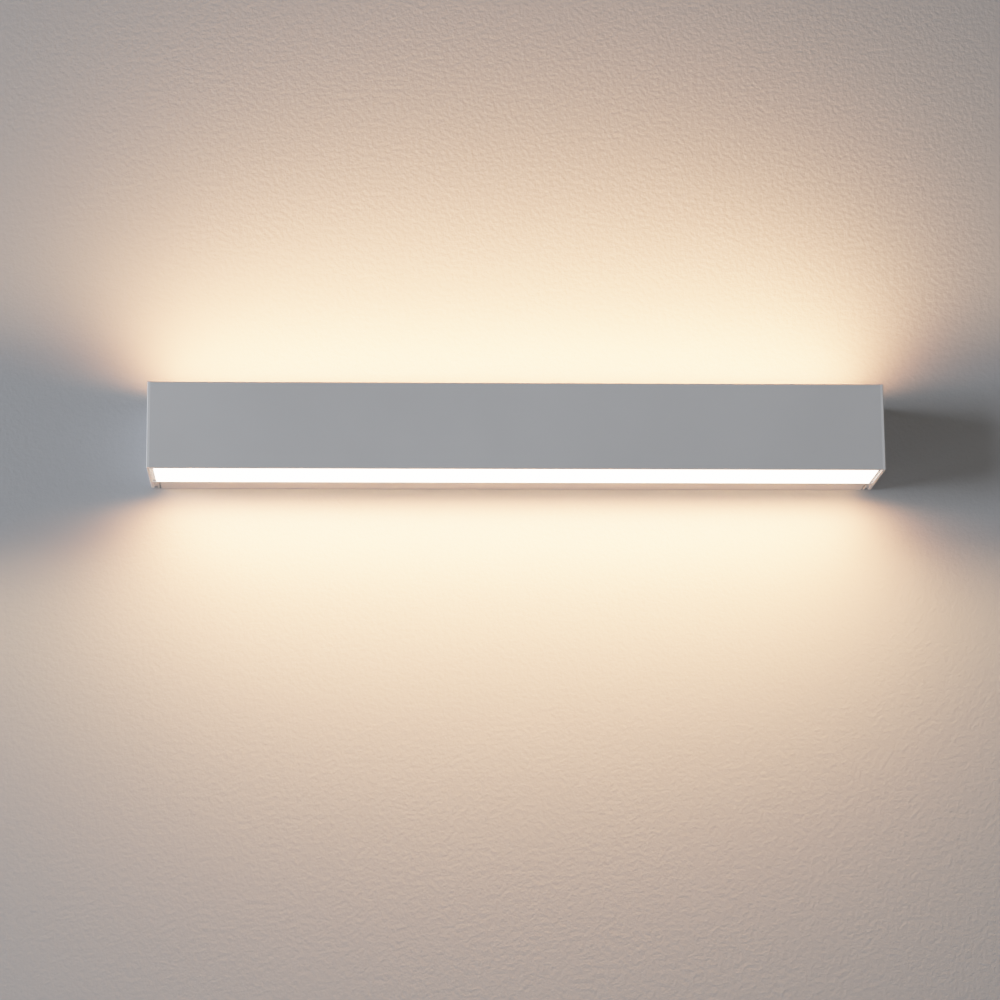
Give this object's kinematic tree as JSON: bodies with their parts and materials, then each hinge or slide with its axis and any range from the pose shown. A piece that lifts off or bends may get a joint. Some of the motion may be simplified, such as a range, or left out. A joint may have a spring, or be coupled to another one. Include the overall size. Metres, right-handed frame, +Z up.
{
  "type": "wall lamp",
  "caption": "Slim horizontal wall lamp that lights up and down: aluminium profile head with opal diffusers, end caps and LED boards, pushed onto a folded steel wall bracket.",
  "frame": {"origin": "on the wall plane, midway between the bracket's two wall-screw slots", "axes": "+X along the lamp to the right as seen from the room, +Y into the wall, +Z up"},
  "size_m": [0.605, 0.08, 0.072],
  "materials": {
    "satin_paint": "satin",
    "cap_paint": "satin",
    "opal_plastic": "satin",
    "bracket_paint": "satin",
    "screw_steel": "satin",
    "black_rubber": "matte",
    "board_white": "matte",
    "led_phosphor": "satin",
    "connector_plastic": "matte",
    "driver_plastic": "matte",
    "circuit_green": "satin",
    "transformer_tape": "satin",
    "capacitor_sleeve": "gloss",
    "terminal_plastic": "satin",
    "button_plastic": "satin",
    "brown_insulation": "satin",
    "blue_insulation": "satin",
    "earth_insulation": "satin",
    "red_insulation": "satin",
    "black_insulation": "satin",
    "tinned_brass": "satin"
  },
  "bodies": {
    "wall_bracket": {"wall_bracket": "bracket_paint", "cable_grommet": "black_rubber"},
    "lamp_head": {"front_profile": "satin_paint", "back_profile": "satin_paint", "left_end_cap": "cap_paint", "right_end_cap": "cap_paint", "left_end_cap_screws": "screw_steel", "right_end_cap_screws": "screw_steel", "upper_diffuser": "opal_plastic", "lower_diffuser": "opal_plastic", "upper_led_board": "board_white", "lower_led_board": "board_white", "upper_leds": "led_phosphor", "lower_leds": "led_phosphor", "upper_board_screws": "screw_steel", "lower_board_screws": "screw_steel", "board_connectors": "connector_plastic", "driver_base": "driver_plastic", "driver_cover": "driver_plastic", "driver_board": "circuit_green", "driver_transformer": "transformer_tape", "driver_capacitors": "capacitor_sleeve", "driver_connectors": "connector_plastic", "driver_screws": "screw_steel", "terminal_block": "terminal_plastic", "terminal_screws": "screw_steel", "live_lead": "brown_insulation", "neutral_lead": "blue_insulation", "earth_lead": "earth_insulation", "positive_led_leads": "red_insulation", "negative_led_leads": "black_insulation", "lead_bushings": "black_rubber", "earth_tag": "tinned_brass", "earth_screw": "screw_steel"},
    "left_clamp_screw": {"left_clamp_screw": "screw_steel"},
    "right_clamp_screw": {"right_clamp_screw": "screw_steel"},
    "live_release_button": {"live_release_button": "button_plastic"},
    "neutral_release_button": {"neutral_release_button": "button_plastic"},
    "earth_release_button": {"earth_release_button": "button_plastic"}
  },
  "joints": [
    {"name": "head_release", "type": "slide", "parent": "wall_bracket", "child": "lamp_head", "axis": [0, -1, 0], "range_m": [0, 0.06]},
    {"name": "left_clamp_turn", "type": "hinge", "parent": "lamp_head", "child": "left_clamp_screw", "pos_m": [-0.3, -0.0115, 0], "axis": [-1, 0, 0], "range_deg": [0, 450]},
    {"name": "right_clamp_turn", "type": "hinge", "parent": "lamp_head", "child": "right_clamp_screw", "pos_m": [0.3, -0.0115, 0], "axis": [1, 0, 0], "range_deg": [0, 450]},
    {"name": "live_button_press", "type": "slide", "parent": "lamp_head", "child": "live_release_button", "axis": [0, -1, 0], "range_m": [0, 0.0015], "stiffness_N_per_m": 10000, "springref_m": -0.0002},
    {"name": "neutral_button_press", "type": "slide", "parent": "lamp_head", "child": "neutral_release_button", "axis": [0, -1, 0], "range_m": [0, 0.0015], "stiffness_N_per_m": 10000, "springref_m": -0.0002},
    {"name": "earth_button_press", "type": "slide", "parent": "lamp_head", "child": "earth_release_button", "axis": [0, -1, 0], "range_m": [0, 0.0015], "stiffness_N_per_m": 10000, "springref_m": -0.0002}
  ]
}
